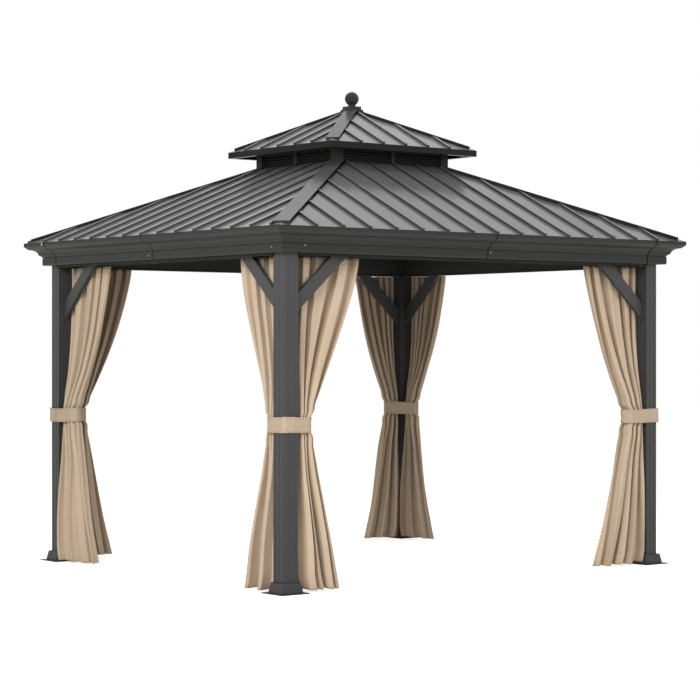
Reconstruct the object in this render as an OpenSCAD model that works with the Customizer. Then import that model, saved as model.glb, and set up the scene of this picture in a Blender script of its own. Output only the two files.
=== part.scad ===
// Hard-top gazebo with a two-tier standing-seam roof, four fluted posts and tied-back curtains.
// The origin is at the middle of the footprint, on the ground. South is -Y and west is -X.
// The four sides are named south, east, north and west; the four corners sw, se, ne and nw.

/* [Plan] */
// Distance between post centres along X
span_x = 2985; // [2200:5:3600]
// Distance between post centres along Y
span_y = 2590; // [2000:5:3200]
// Clear height under the beams
clear_h = 2000; // [1900:5:2300]

/* [Posts] */
// Width of a post's outer faces
post_w = 105; // [90:1:120]
// Wall of the post extrusion
post_wall = 3; // [2:0.5:6]
// Bevel down the post's outer corner
post_bevel = 14; // [8:1:20]
// Width of a flute in a post's face
flute_w = 14; // [8:1:20]
// Depth of a flute
flute_d = 1.5; // [1:0.1:1.8]
// Distance between the two flutes of a face
flute_gap = 25; // [16:1:34]
// Length that a post stands up into its corner bracket
post_socket = 120; // [60:1:130]
// Side of the square foot plate
foot_w = 208; // [200:1:240]
// Thickness of the foot plate
foot_t = 5; // [4:0.5:10]
// Distance between the anchor holes
anchor_pitch = 178; // [174:1:184]
// Diameter of an anchor hole
anchor_d = 11; // [8:0.5:13]

/* [Boots] */
// Side of a boot at its base
boot_w = 156; // [146:1:164]
// Side of a boot at its top
boot_top_w = 134; // [124:1:142]
// Height of a boot
boot_h = 60; // [50:1:110]
// Height of the upright rim at a boot's base
boot_rim = 8; // [6:1:30]
// Corner chamfer of a boot
boot_chamfer = 12; // [6:1:18]

/* [Knee braces] */
// Distance from the post's face to a brace's far end under the beam
brace_reach = 405; // [300:5:520]
// Distance from the beam down to a brace's lower end
brace_drop = 365; // [260:5:480]
// Width of a brace's flat face
brace_w = 78; // [50:1:100]
// Thickness of a brace
brace_t = 26; // [18:1:32]

/* [Beams] */
// Distance from the post centre out to the beam's flat band
band_out = 94.6; // [80:0.1:110]
// Height of the flat band
band_h = 56; // [40:1:70]
// Chamfer along the band's lower edge
band_edge = 6; // [3:0.5:10]
// Width and depth of the groove along the top of the band
groove_w = 4; // [2:0.5:6]
// Width of the bevel above the band
bevel_w = 11; // [6:1:16]
// Height of that bevel
bevel_h = 12; // [8:1:16]
// Width of the step between the bevel and the cove
step_w = 7; // [3:1:12]
// Width of the cove
cove_w = 50; // [30:1:60]
// Height of the cove
cove_h = 39; // [24:1:46]
// Width of the flare above the cove
flare_w = 24; // [14:1:34]
// Height of the flare
flare_h = 21; // [12:1:28]
// Height of the upright lip at the eave
lip_h = 20; // [12:1:30]
// Distance from the post centre in to the beam's inner face
beam_in = 74; // [72:1:84]
// Wall of the beam extrusion
beam_wall = 3; // [2:0.5:5]
// Length of a corner bracket's arm, from the corner of the band
corner_arm = 178; // [165:1:240]
// Open joint between a corner bracket and a beam
corner_gap = 10; // [4:1:16]
// Open joint between the two halves of a beam
mid_gap = 8; // [3:1:14]
// Length that a joint's sleeve reaches into a beam
sleeve_len = 60; // [30:1:100]
// Distance from the band's face back to a sleeve
sleeve_set = 24; // [10:1:40]

/* [Roof] */
// Rise of the main roof from its eave to the vent
roof_rise = 492; // [380:1:620]
// Thickness of a roof sheet
sheet_t = 3; // [2:0.5:5]
// Distance between the standing ribs
rib_pitch = 201; // [150:1:260]
// Width of a standing rib
rib_w = 17; // [10:1:26]
// Height of a standing rib
rib_h = 15; // [8:1:20]
// Width of a hip cap on the main roof
cap_w = 102; // [70:1:120]
// Distance from the eave's corner to a hip cap's foot, as a share of the cap's width
cap_foot = 0.6; // [0.58:0.01:0.9]
// Height of a hip cap above the ridge line of its sheets
cap_rise = 7; // [4:0.5:12]
// Width of a hip rafter
rafter_w = 40; // [30:1:50]
// Depth of a hip rafter
rafter_d = 50; // [40:1:70]
// Distance from the eave's corner to a rafter's foot, in plan
rafter_foot = 110; // [90:5:160]

/* [Vent] */
// Length of the vent along X
vent_x = 946; // [700:2:1100]
// Length of the vent along Y
vent_y = 890; // [680:2:1000]
// Thickness of a vent wall
vent_t = 26; // [20:1:34]
// Depth that a vent wall reaches below the top of the main roof
vent_sink = 40; // [30:1:60]
// Height of a vent wall's lower rail above the roof
vent_sill = 10; // [6:1:16]
// Width of a vent wall's corner stile
stile_w = 60; // [40:1:80]
// Width of a vent wall's middle stile
mullion_w = 30; // [20:1:50]
// Distance between louvre blades
louvre_pitch = 20; // [16:1:26]
// Thickness of a louvre blade
louvre_t = 3; // [2:0.5:5]

/* [Upper roof] */
// Overhang of the upper roof beyond the vent along X
upper_out_x = 140; // [100:1:180]
// Overhang of the upper roof beyond the vent along Y
upper_out_y = 132; // [100:1:180]
// Height of the upper eave above the top of the main roof
upper_lift = 122; // [110:1:160]
// Rise of the upper roof from its eave to its point
upper_rise = 283; // [220:1:360]
// Height of the upper eave trim
trim_h = 38; // [26:1:50]
// Width of the flange under the upper eave
trim_flange = 26; // [14:1:40]
// Distance between the ribs of the upper roof
upper_pitch = 186; // [150:1:240]
// Width of a hip cap on the upper roof
upper_cap_w = 86; // [60:1:100]

/* [Finial] */
// Side of the finial's base
finial_w = 110; // [90:1:130]
// Height of the finial's base
finial_base_h = 42; // [30:1:60]
// Height of the wide foot of that base
finial_foot_h = 21; // [10:1:28]
// Width of the ledge between the foot and the upper part of the base
finial_ledge = 10; // [4:1:16]
// Diameter of the finial's ball
ball_d = 94; // [70:1:110]
// Diameter of the neck under the ball
neck_d = 50; // [30:1:60]
// Height of the neck under the ball
neck_h = 10; // [6:1:30]
// Depth that the neck reaches up into the ball
neck_lap = 4; // [3:0.5:8]

/* [Curtains] */
// Distance from the post's centre lines to the curtain tracks
track_off = 56; // [55:1:60]
// Width of a curtain track
track_w = 18; // [12:1:24]
// Height of a curtain track
track_h = 16; // [10:1:24]
// Distance from the post's face to a curtain's far edge at the top
curtain_top = 465; // [380:5:640]
// Distance from the post's face to a curtain's far edge at the hem
curtain_foot = 375; // [300:5:480]
// Distance from the post's face to a curtain's far edge at the tie
curtain_waist = 92; // [80:2:130]
// Distance from the post's face to a curtain's near edge at the top
top_near = 16; // [14:1:24]
// Distance from the post's face to a curtain's near edge at the tie
waist_near = 3; // [2:0.5:8]
// Distance from the post's face to a curtain's near edge at the hem
hem_near = 32; // [28:1:60]
// Distance that a hem swings out past the post's centre line
hem_swing = 22; // [0:2:40]
// Thickness of a gathered curtain at the top
curtain_t = 80; // [60:1:82]
// Thickness of a gathered curtain at the tie
waist_t = 88; // [60:1:94]
// Thickness of a gathered curtain at the hem
hem_t = 130; // [90:1:140]
// Height of the hem above the ground
hem_z = 18; // [12:1:40]
// Height of the middle of the tie
tie_z = 990; // [800:5:1200]
// Height of a tie
tie_h = 95; // [60:1:130]
// Thickness of a tie
tie_t = 4; // [3:0.5:6]

/* [Hidden] */

// The gap between pieces that seat on each other
seat = 0.3;
// Sides and corners are counted from the south side and the south-west corner
SOUTH = 0;
EAST = 1;
NORTH = 2;
WEST = 3;
SW = 0;
SE = 1;
NE = 2;
NW = 3;

charcoal = "#4f5051";
dark = "#363736";
sheet_grey = "#808183";
cloth = "#bfa98c";

// Heights of the beam's crown, measured from the beam's underside
step_z = band_h + bevel_h;
cove_top = step_z + cove_h;
flare_top = cove_top + flare_h;
beam_h = flare_top + lip_h;
step_out = band_out + bevel_w + step_w;
eave_out = step_out + cove_w + flare_w;

half_x = span_x / 2;
half_y = span_y / 2;
post_half = post_w / 2;
arm_in = corner_arm - band_out;

// Heights above the ground
beam_top = clear_h + beam_h;
eave_z = beam_top + seat;
vent_z = eave_z + roof_rise;
ring_top = vent_z - vent_sink;
upper_z = vent_z + upper_lift;
curtain_top_z = clear_h - track_h - 2 * seat;

// Half lengths of the main eave and of the vent
eave_x = half_x + eave_out;
eave_y = half_y + eave_out;
top_x = vent_x / 2;
top_y = vent_y / 2;
run_x = eave_x - top_x;
run_y = eave_y - top_y;

// Half lengths of the upper eave, and of its opening under the finial
upper_x = top_x + upper_out_x;
upper_y = top_y + upper_out_y;
finial_lap = 6;
open_share = (finial_w / 2 - finial_lap) / upper_x;
open_x = upper_x * open_share;
open_y = upper_y * open_share;
upper_full = upper_rise * (1 - open_share);

// A side's half length, and its distance from the middle, for a rectangle of half sizes hx by hy
function along(side, hx, hy) = side % 2 == 0 ? hx : hy;
function away(side, hx, hy) = side % 2 == 0 ? hy : hx;

module at_side(side) {
    rotate([0, 0, 90 * side])
        children();
}

// Puts what is built for the south-west quarter into another quarter
module at_quarter(corner) {
    if (corner == SW)
        children();
    else if (corner == SE)
        mirror([1, 0, 0])
            children();
    else if (corner == NE)
        rotate([0, 0, 180])
            children();
    else
        mirror([0, 1, 0])
            children();
}

// Puts what is built around the origin at a post's centre, with -X and -Y pointing outwards
module at_post(corner) {
    at_quarter(corner)
        translate([-half_x, -half_y, 0])
            children();
}

// Extrudes an outline in the Y-Z plane along X, from x0 to x1
module bar_x(x0, x1) {
    translate([x0, 0, 0])
        rotate([90, 0, 90])
            linear_extrude(x1 - x0)
                children();
}

// Mirrors a piece about the line x = y, so that an arm along X becomes one along Y
module swap_xy() {
    mirror([1, -1, 0])
        children();
}

// Posts

module post_outline() {
    difference() {
        polygon([
            [-post_half, -post_half + post_bevel],
            [-post_half + post_bevel, -post_half],
            [post_half, -post_half],
            [post_half, post_half],
            [-post_half, post_half]
        ]);
        // Two flutes run up each outer face
        for (side = [-1, 1])
            translate([side * (flute_w + flute_gap) / 2 + post_bevel / 2, -post_half])
                square([flute_w, 2 * flute_d], center = true);
        for (side = [-1, 1])
            translate([-post_half, side * (flute_w + flute_gap) / 2 + post_bevel / 2])
                square([2 * flute_d, flute_w], center = true);
        polygon([
            [-post_half + post_wall, -post_half + post_bevel + post_wall],
            [-post_half + post_bevel + post_wall, -post_half + post_wall],
            [post_half - post_wall, -post_half + post_wall],
            [post_half - post_wall, post_half - post_wall],
            [-post_half + post_wall, post_half - post_wall]
        ]);
    }
}

module foot_plate() {
    difference() {
        translate([-foot_w / 2, -foot_w / 2, 0])
            cube([foot_w, foot_w, foot_t]);
        for (sx = [-1, 1], sy = [-1, 1])
            translate([sx * anchor_pitch / 2, sy * anchor_pitch / 2, -1])
                cylinder(h = foot_t + 2, d = anchor_d, $fn = 32);
    }
}

module post(corner) {
    color(charcoal)
        at_post(corner)
            union() {
                foot_plate();
                translate([0, 0, foot_t])
                    linear_extrude(clear_h + post_socket - foot_t)
                        post_outline();
            }
}

// Boots

function boot_points(w) = let (h = w / 2, c = boot_chamfer) [
    [-h, -h + c], [-h + c, -h], [h - c, -h], [h, -h + c],
    [h, h - c], [h - c, h], [-h + c, h], [-h, h - c]
];

module boot(corner) {
    flare = boot_h - boot_rim;
    color(charcoal)
        at_post(corner)
            translate([0, 0, foot_t + seat])
                difference() {
                    union() {
                        linear_extrude(boot_rim)
                            polygon(boot_points(boot_w));
                        translate([0, 0, boot_rim])
                            linear_extrude(flare, scale = boot_top_w / boot_w)
                                polygon(boot_points(boot_w));
                    }
                    translate([0, 0, -1])
                        linear_extrude(boot_h + 2)
                            square(post_w + 2 * seat, center = true);
                }
}

// Knee braces

module brace() {
    slope = atan2(brace_drop, brace_reach);
    up = brace_w / cos(slope);
    across = brace_w / sin(slope);
    translate([post_half, brace_t / 2, clear_h])
        rotate([90, 0, 0])
            linear_extrude(brace_t)
                polygon([
                    [seat, -brace_drop],
                    [brace_reach, -seat],
                    [brace_reach - across, -seat],
                    [seat, up - brace_drop]
                ]);
}

module braces(corner) {
    color(charcoal)
        at_post(corner) {
            brace();
            swap_xy()
                brace();
        }
}

// Beams

// The crown outside a beam, as distances out from the post centre and up from the underside
function cove_points() = [
    for (a = [0 : 15 : 90])
        [step_out + cove_w * (1 - cos(a)), step_z + cove_h * sin(a)]
];
function crown_points() = concat(
    [
        [band_out - band_edge, 0],
        [band_out, band_edge],
        [band_out, band_h - groove_w],
        [band_out - groove_w, band_h - groove_w],
        [band_out - groove_w, band_h],
        [band_out, band_h],
        [band_out + bevel_w, step_z]
    ],
    cove_points(),
    [[eave_out, flare_top], [eave_out, beam_h]]
);
function outward(points) = [for (p = points) [-p[0], p[1]]];

module beam_outline() {
    difference() {
        polygon(outward(concat(crown_points(), [[-beam_in, beam_h], [-beam_in, 0]])));
        polygon(outward([
            [band_out - groove_w - beam_wall, beam_wall],
            [band_out - groove_w - beam_wall, step_z],
            [step_out + cove_w / 2, beam_h - beam_wall],
            [beam_wall - beam_in, beam_h - beam_wall],
            [beam_wall - beam_in, beam_wall]
        ]));
    }
}

// A sleeve inside a beam bridges an open joint, well back from the face, so the joint looks dark
module sleeve(x0, x1) {
    slack = beam_wall + seat;
    bar_x(x0, x1)
        translate([sleeve_set - band_out, slack])
            square([band_out - sleeve_set + beam_in - slack, beam_h - 2 * slack]);
}

// Each side is in two halves that are joined in the middle
module beam(side) {
    reach = along(side, half_x, half_y) - arm_in - corner_gap;
    color(dark)
        at_side(side)
            translate([0, -away(side, half_x, half_y), clear_h]) {
                for (start = [-reach, mid_gap / 2])
                    bar_x(start, start + reach - mid_gap / 2)
                        beam_outline();
                sleeve(-mid_gap / 2 - sleeve_len, mid_gap / 2 + sleeve_len);
            }
}

module crown_arm() {
    bar_x(-eave_out - 1, arm_in)
        polygon(outward(concat(crown_points(), [[-arm_in, beam_h], [-arm_in, 0]])));
}

// A mitred bracket caps each post, and its two sleeves carry the ends of the beams
module corner(corner) {
    color(dark)
        at_post(corner)
            translate([0, 0, clear_h]) {
                difference() {
                    intersection() {
                        crown_arm();
                        swap_xy()
                            crown_arm();
                    }
                    translate([beam_in, beam_in, -1])
                        cube([arm_in, arm_in, beam_h + 2]);
                    translate([-post_half - seat, -post_half - seat, -1])
                        cube([post_w + 2 * seat, post_w + 2 * seat, post_socket + 1 + seat]);
                }
                sleeve(arm_in - sleeve_set, arm_in + corner_gap + sleeve_len);
                swap_xy()
                    sleeve(arm_in - sleeve_set, arm_in + corner_gap + sleeve_len);
            }
}

// Roof

// One hipped slope: a sheet with standing ribs, from an eave of half length e up to half length t
module slope(e, t, run, rise, pitch, cap) {
    tilt = atan2(rise, run);
    length = norm([run, rise]);
    // The sheets stop short of the hip line, and the ribs at the edge of the hip cap
    hip = atan2(e - t, length);
    back = seat / cos(hip);
    rib_back = (cap / 2 + seat) / cos(hip);
    last = floor((e - rib_back) / pitch);
    // On a slope that comes to a point, the ribs end where the hip caps meet
    rib_top = min(length, length * (e - rib_back - rib_w / 2) / (e - t));
    rib_end = e - rib_back - (e - t) * rib_top / length;
    rotate([tilt, 0, 0]) {
        linear_extrude(sheet_t)
            polygon([[back - e, 0], [e - back, 0], [t - back, length], [back - t, length]]);
        intersection() {
            union()
                for (i = [-last : last])
                    translate([i * pitch - rib_w / 2, 0, sheet_t / 2])
                        cube([rib_w, length, sheet_t / 2 + rib_h]);
            linear_extrude(sheet_t + rib_h)
                polygon([
                    [rib_back - e, 0],
                    [e - rib_back, 0],
                    [rib_end, rib_top],
                    [-rib_end, rib_top]
                ]);
        }
    }
}

module roof(side) {
    e = along(side, eave_x, eave_y);
    t = along(side, top_x, top_y);
    color(sheet_grey)
        at_side(side)
            translate([0, -away(side, eave_x, eave_y), eave_z])
                slope(e, t, away(side, run_x, run_y) - seat, roof_rise, rib_pitch, cap_w);
}

// A bar along the south-west hip, from a share s0 to a share s1 of the way up
module hip_bar(ex, ey, rx, ry, z, rise, s0, s1) {
    flat = norm([rx, ry]);
    length = norm([flat, rise]);
    translate([-ex, -ey, z])
        rotate([0, 0, atan2(ry, rx)])
            rotate([0, -atan2(rise, flat), 0])
                bar_x(length * s0, length * s1)
                    children();
}

// How fast the sheets on the two sides of a hip fall away from it, in a cut square to the hip
function fall(rx, ry, rise) = let (flat = norm([rx, ry]), level = flat / norm([flat, rise]))
    [rise * ry / rx / flat * level, rise * rx / ry / flat * level];

module cap_outline(w, falls) {
    base = sheet_t * norm([1, max(falls)]) + seat;
    half = w / 2;
    polygon([
        [0, base],
        [half, base - half * falls[0]],
        [half, base + cap_rise],
        [-half, base + cap_rise],
        [-half, base - half * falls[1]]
    ]);
}

// A cap is cut off square near the eave, and round the corner of what stands at its top
module hip_cap(corner) {
    share = cap_w / norm([run_x, run_y]);
    color(sheet_grey)
        at_quarter(corner)
            difference() {
                hip_bar(
                    eave_x, eave_y, run_x, run_y, eave_z, roof_rise,
                    cap_foot * share, 1 + share / 2
                )
                    cap_outline(cap_w, fall(run_x, run_y, roof_rise));
                translate([-top_x - seat, -top_y - seat, ring_top])
                    cube([vent_x, vent_y, 2 * vent_sink + 2 * cap_rise]);
            }
}

// Four hip rafters run from the corner brackets up to a ring that carries the vent
module roof_frame() {
    falls = fall(run_x, run_y, roof_rise);
    low = rafter_w / 2 * max(falls) + seat;
    foot = rafter_foot / norm([run_x, run_y]);
    color(dark)
        difference() {
            union() {
                difference() {
                    translate([-top_x, -top_y, ring_top - rafter_d])
                        cube([vent_x, vent_y, rafter_d - seat]);
                    translate([rafter_w - top_x, rafter_w - top_y, ring_top - rafter_d - 1])
                        cube([vent_x - 2 * rafter_w, vent_y - 2 * rafter_w, rafter_d + 2]);
                }
                for (corner = [SW, SE, NE, NW])
                    at_quarter(corner)
                        hip_bar(eave_x, eave_y, run_x, run_y, eave_z, roof_rise, foot, 1)
                            translate([-rafter_w / 2, -low - rafter_d])
                                square([rafter_w, rafter_d]);
            }
            translate([-eave_x, -eave_y, 0])
                cube([2 * eave_x, 2 * eave_y, beam_top + seat]);
            translate([-top_x - seat, -top_y - seat, ring_top - seat])
                cube([vent_x + 2 * seat, vent_y + 2 * seat, rafter_d + vent_sink]);
        }
}

// Vent

module mitre(half, out, depth, z0, z1) {
    translate([0, 0, z0])
        linear_extrude(z1 - z0)
            polygon([
                [seat / 2 - half, -out],
                [half - seat / 2, -out],
                [half - depth - seat / 2, depth - out],
                [seat / 2 + depth - half, depth - out]
            ]);
}

// A louvred wall between the two roofs: rails, three stiles and slanted blades
module vent(side) {
    half = along(side, top_x, top_y);
    out = away(side, top_x, top_y);
    sill_z = vent_z + vent_sill;
    head_z = upper_z - trim_h + louvre_pitch / 2;
    top_z = upper_z + upper_rise * upper_out_x / upper_x - seat;
    blades = floor((head_z - sill_z) / louvre_pitch);
    color(dark)
        at_side(side)
            intersection() {
                mitre(half, out, vent_t, ring_top, top_z);
                union() {
                    translate([-half, -out, ring_top])
                        cube([2 * half, vent_t, sill_z - ring_top]);
                    translate([-half, -out, head_z])
                        cube([2 * half, vent_t, top_z - head_z]);
                    for (x = [-half, half - stile_w])
                        translate([x, -out, ring_top])
                            cube([stile_w, vent_t, top_z - ring_top]);
                    translate([-mullion_w / 2, -out, ring_top])
                        cube([mullion_w, vent_t, top_z - ring_top]);
                    for (i = [0 : blades])
                        bar_x(stile_w / 2 - half, half - stile_w / 2)
                            translate([0.25 * vent_t - out, sill_z + i * louvre_pitch])
                                polygon([
                                    [0, -louvre_t],
                                    [0, 0],
                                    [vent_t / 2, vent_t / 2],
                                    [vent_t / 2, vent_t / 2 - louvre_t]
                                ]);
                }
            }
}

// Upper roof

module upper_roof(side) {
    e = along(side, upper_x, upper_y);
    out = away(side, upper_x, upper_y);
    t = along(side, open_x, open_y);
    run = out - away(side, open_x, open_y);
    // The trim's top lies level with the top of the sheet's edge
    lap = sheet_t * cos(atan2(upper_full, run));
    color(sheet_grey)
        at_side(side) {
            translate([0, -out, upper_z])
                slope(e, t, run, upper_full, upper_pitch, upper_cap_w);
            intersection() {
                bar_x(-e, e)
                    translate([-out, upper_z - trim_h])
                        polygon([
                            [0, 0],
                            [trim_flange, 0],
                            [trim_flange, sheet_t],
                            [sheet_t, sheet_t],
                            [sheet_t, trim_h + lap],
                            [0, trim_h + lap]
                        ]);
                mitre(e, out, trim_flange, upper_z - trim_h - 1, upper_z + trim_h);
            }
        }
}

module upper_hip_cap() {
    rx = upper_x - open_x;
    ry = upper_y - open_y;
    share = upper_cap_w / norm([rx, ry]);
    side = finial_w + 2 * seat;
    difference() {
        hip_bar(upper_x, upper_y, rx, ry, upper_z, upper_full, cap_foot * share, 1 + share / 2)
            cap_outline(upper_cap_w, fall(rx, ry, upper_full));
        translate([-side / 2, -side / 2, upper_z])
            cube([side, side, 2 * upper_full]);
        translate([-seat / 2, -upper_y, upper_z])
            cube([upper_x, 2 * upper_y, 2 * upper_full]);
        translate([-upper_x, -seat / 2, upper_z])
            cube([2 * upper_x, upper_y, 2 * upper_full]);
    }
}

module upper_hip_caps() {
    color(sheet_grey)
        for (corner = [SW, SE, NE, NW])
            at_quarter(corner)
                upper_hip_cap();
}

// Finial

module finial() {
    base_z = upper_z + upper_full + sheet_t + seat;
    ball_z = base_z + finial_base_h + neck_h + ball_d / 2 - neck_lap;
    upper_w = finial_w - 2 * finial_ledge;
    color(charcoal)
        union() {
            translate([-finial_w / 2, -finial_w / 2, base_z])
                cube([finial_w, finial_w, finial_foot_h]);
            translate([-upper_w / 2, -upper_w / 2, base_z])
                cube([upper_w, upper_w, finial_base_h]);
            translate([0, 0, base_z])
                cylinder(h = finial_base_h + neck_h + ball_d / 4, d = neck_d, $fn = 48);
            translate([0, 0, ball_z])
                sphere(d = ball_d, $fn = 64);
        }
}

// Curtain tracks

module tracks_on(side) {
    reach = along(side, half_x, half_y) - post_half - seat;
    at_side(side)
        translate([0, -away(side, half_x, half_y), clear_h - track_h])
            for (off = [-track_off, track_off])
                bar_x(-reach, reach)
                    translate([off - track_w / 2, 0])
                        difference() {
                            square([track_w, track_h - seat]);
                            translate([track_w / 4, -1])
                                square([track_w / 2, track_h / 2 + 1]);
                        }
}

module curtain_tracks() {
    color(dark)
        for (side = [SOUTH, EAST, NORTH, WEST])
            tracks_on(side);
}

// Curtains

ring_points = 20;

// How far a curtain has fanned out at a share k of the way up from the tie: it hangs steeper near the top
fan_power = 1.25;
function fan(k) = 1 - pow(1 - k, fan_power);
function between(a, b, k) = a + (b - a) * k;

// Share of the way up from the tie to the top at which the cloth passes the braces' lower ends
brace_share = (clear_h - brace_drop - tie_z - tie_h / 2) / (curtain_top_z - tie_z - tie_h / 2);

// How far the cloth has slid from the post's centre line to its track at a share k of the way up
function slide(k) = sin(90 * min(k / brace_share, 1));

// Levels of a curtain: each has its height, near edge, far edge, thickness and
// offset from the post's centre line
function upper_level(k, off) = [
    between(tie_z + tie_h / 2, curtain_top_z, k),
    post_half + between(waist_near, top_near, slide(k)),
    post_half + between(curtain_waist, curtain_top, fan(k)),
    between(waist_t, curtain_t, k),
    off * slide(k)
];
function lower_level(k) = [
    between(tie_z - tie_h / 2, hem_z, k),
    post_half + between(waist_near, hem_near, k),
    post_half + between(curtain_waist, curtain_foot, k),
    between(waist_t, hem_t, k),
    -hem_swing * k
];
function curtain_levels(off) = concat(
    [for (k = [1, 0.8, brace_share, 0.45, 0.3, 0.15, 0]) upper_level(k, off)],
    [for (k = [0, 0.3, 0.65, 1]) lower_level(k)]
);

// A ring round a curtain at one level, squarer than an ellipse
function squarer(x) = sign(x) * pow(abs(x), 0.8);
function curtain_ring(level) = [
    for (i = [0 : ring_points - 1])
        let (a = 360 * i / ring_points)
        [
            (level[1] + level[2]) / 2 + (level[2] - level[1]) / 2 * squarer(cos(a)),
            level[4] + level[3] / 2 * squarer(sin(a)),
            level[0]
        ]
];

module loft(rings) {
    n = len(rings[0]);
    last = len(rings) - 1;
    polyhedron(
        points = [for (ring = rings) for (p = ring) p],
        faces = concat(
            [[for (i = [0 : n - 1]) i]],
            [for (k = [0 : last - 1]) for (i = [0 : n - 1]) [
                k * n + i,
                (k + 1) * n + i,
                (k + 1) * n + (i + 1) % n,
                k * n + (i + 1) % n
            ]],
            [[for (i = [n - 1 : -1 : 0]) last * n + i]]
        )
    );
}

// The north-east pair hangs on the outer track, and the others on the inner one
function track_side(corner) = corner == NE ? -1 : 1;

module curtain(off) {
    loft([for (level = curtain_levels(off)) curtain_ring(level)]);
}

module curtains(corner) {
    off = track_side(corner) * track_off;
    color(cloth)
        at_post(corner) {
            curtain(off);
            swap_xy()
                curtain(off);
        }
}

module tie_outline(gap) {
    far = post_half + curtain_waist + gap;
    half = waist_t / 2 + gap;
    hull() {
        square(post_w + 2 * gap, center = true);
        translate([0, -half])
            square([far, 2 * half]);
        translate([-half, 0])
            square([2 * half, far]);
    }
}

module tie(corner) {
    color(cloth)
        at_post(corner)
            translate([0, 0, tie_z - tie_h / 2])
                linear_extrude(tie_h)
                    difference() {
                        tie_outline(seat + tie_t);
                        tie_outline(seat);
                    }
}

post(SW);  // post_sw
post(SE);  // post_se
post(NE);  // post_ne
post(NW);  // post_nw
boot(SW);  // boot_sw
boot(SE);  // boot_se
boot(NE);  // boot_ne
boot(NW);  // boot_nw
braces(SW);  // braces_sw
braces(SE);  // braces_se
braces(NE);  // braces_ne
braces(NW);  // braces_nw
corner(SW);  // corner_sw
corner(SE);  // corner_se
corner(NE);  // corner_ne
corner(NW);  // corner_nw
beam(SOUTH);  // beam_south
beam(EAST);  // beam_east
beam(NORTH);  // beam_north
beam(WEST);  // beam_west
curtain_tracks();
roof_frame();
roof(SOUTH);  // roof_south
roof(EAST);  // roof_east
roof(NORTH);  // roof_north
roof(WEST);  // roof_west
hip_cap(SW);  // hip_cap_sw
hip_cap(SE);  // hip_cap_se
hip_cap(NE);  // hip_cap_ne
hip_cap(NW);  // hip_cap_nw
vent(SOUTH);  // vent_south
vent(EAST);  // vent_east
vent(NORTH);  // vent_north
vent(WEST);  // vent_west
upper_roof(SOUTH);  // upper_roof_south
upper_roof(EAST);  // upper_roof_east
upper_roof(NORTH);  // upper_roof_north
upper_roof(WEST);  // upper_roof_west
upper_hip_caps();
finial();
curtains(SW);  // curtains_sw
curtains(SE);  // curtains_se
curtains(NE);  // curtains_ne
curtains(NW);  // curtains_nw
tie(SW);  // tie_sw
tie(SE);  // tie_se
tie(NE);  // tie_ne
tie(NW);  // tie_nw
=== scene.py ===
"""Looks of a hard-top garden gazebo.

Powder-coated aluminium posts and crown, coil-coated steel roof, woven curtains tied to the posts.
Lengths are in metres. South is -Y and west is -X, as in the CAD.
"""

import math

import bmesh
import bpy
import numpy as np
from mathutils import Matrix, Vector


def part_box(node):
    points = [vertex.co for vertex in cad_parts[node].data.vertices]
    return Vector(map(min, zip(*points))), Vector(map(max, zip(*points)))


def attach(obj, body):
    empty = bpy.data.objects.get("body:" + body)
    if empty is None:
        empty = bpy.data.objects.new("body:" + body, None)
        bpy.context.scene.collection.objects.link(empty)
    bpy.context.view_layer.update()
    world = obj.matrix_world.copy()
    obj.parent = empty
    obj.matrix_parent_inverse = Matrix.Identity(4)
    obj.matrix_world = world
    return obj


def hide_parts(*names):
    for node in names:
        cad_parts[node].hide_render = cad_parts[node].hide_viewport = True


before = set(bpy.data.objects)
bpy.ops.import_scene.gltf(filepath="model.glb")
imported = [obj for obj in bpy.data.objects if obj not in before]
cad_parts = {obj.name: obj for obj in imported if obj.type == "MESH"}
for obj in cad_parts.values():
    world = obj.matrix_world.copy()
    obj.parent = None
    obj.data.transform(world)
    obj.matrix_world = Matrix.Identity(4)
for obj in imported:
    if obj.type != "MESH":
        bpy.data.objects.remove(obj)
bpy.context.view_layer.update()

MM = 0.001
BODY = "root"
# Spacing of the roof's ribs
MAIN_PITCH = 0.201
UPPER_PITCH = 0.186
CORNERS = {"sw": (-1, -1), "se": (1, -1), "ne": (1, 1), "nw": (-1, 1)}


# Colours and nodes


def srgb(hex_code):
    """Turns an sRGB hex code into linear red, green, blue and alpha."""
    parts = [int(hex_code[i : i + 2], 16) / 255 for i in (1, 3, 5)]
    return [p / 12.92 if p <= 0.04045 else ((p + 0.055) / 1.055) ** 2.4 for p in parts] + [1.0]


def add_node(tree, kind, settings=None, links=None, **options):
    """Adds a node, with its options, the values of its sockets and the sockets that feed it."""
    node = tree.nodes.new(kind)
    for name, value in options.items():
        setattr(node, name, value)
    for socket, value in (settings or {}).items():
        node.inputs[socket].default_value = value
    for socket, source in (links or {}).items():
        tree.links.new(source, node.inputs[socket])
    return node


def new_material(name):
    """Starts a material with nothing but its output."""
    material = bpy.data.materials.new(name)
    material.use_nodes = True
    material.node_tree.nodes.clear()
    return material, material.node_tree


def finish_material(tree, shader):
    add_node(tree, "ShaderNodeOutputMaterial", links={"Surface": shader.outputs[0]})


def blend_colours(tree, factor, first, second):
    """Mixes two colours, each a hex code or a socket, by the factor in a socket."""
    node = add_node(tree, "ShaderNodeMix", data_type="RGBA", links={0: factor})
    for socket, colour in ((6, first), (7, second)):
        if isinstance(colour, str):
            node.inputs[socket].default_value = srgb(colour)
        else:
            tree.links.new(colour, node.inputs[socket])
    return node.outputs[2]


# Materials


# How far up and how strongly the coat is darkened towards the floor
SHADE_TOP = 1.9
SHADE_SHARE = 0.55
SHADE_COLOUR = "#1f2021"


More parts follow.
